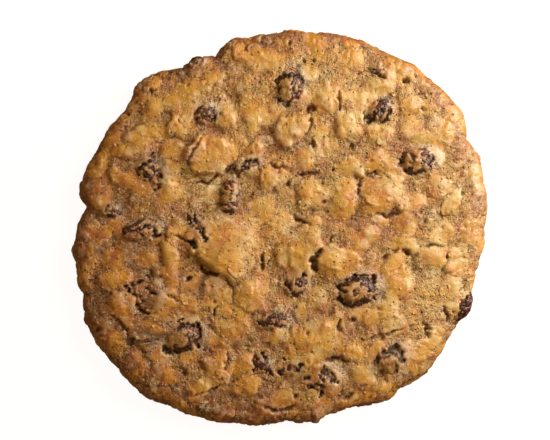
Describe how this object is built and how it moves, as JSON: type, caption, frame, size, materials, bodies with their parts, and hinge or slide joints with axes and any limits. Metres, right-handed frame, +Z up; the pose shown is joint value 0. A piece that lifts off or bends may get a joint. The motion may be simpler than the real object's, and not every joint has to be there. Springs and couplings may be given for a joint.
{
  "type": "oatmeal raisin cookie",
  "caption": "Large round oatmeal raisin cookie with a flat base, a lumpy baked top, an uneven rim and raisins set in the dough.",
  "frame": {"origin": "middle of the cookie's extent at its flat base", "axes": "+Z up out of the flat base, +X along the cookie's longest width, +Y across it"},
  "size_m": [0.1096, 0.1042, 0.0128],
  "materials": {
    "baked_dough": "matte golden brown baked oat dough, browner at the rim, paler on raised oat flakes, dark in pores and cracks",
    "raisin": "wrinkled dark purple-brown dried fruit skin, half glossy, smeared with dough in places"
  },
  "bodies": {
    "root": {"dough": "baked_dough", "raisin_01": "raisin", "raisin_02": "raisin", "raisin_03": "raisin", "raisin_04": "raisin", "raisin_05": "raisin", "raisin_06": "raisin", "raisin_07": "raisin", "raisin_08": "raisin", "raisin_09": "raisin", "raisin_10": "raisin", "raisin_11": "raisin", "raisin_12": "raisin", "raisin_13": "raisin", "raisin_14": "raisin", "raisin_15": "raisin", "raisin_16": "raisin", "raisin_17": "raisin", "raisin_18": "raisin", "raisin_19": "raisin", "raisin_20": "raisin", "raisin_21": "raisin", "raisin_22": "raisin", "raisin_rim": "raisin"}
  },
  "joints": []
}
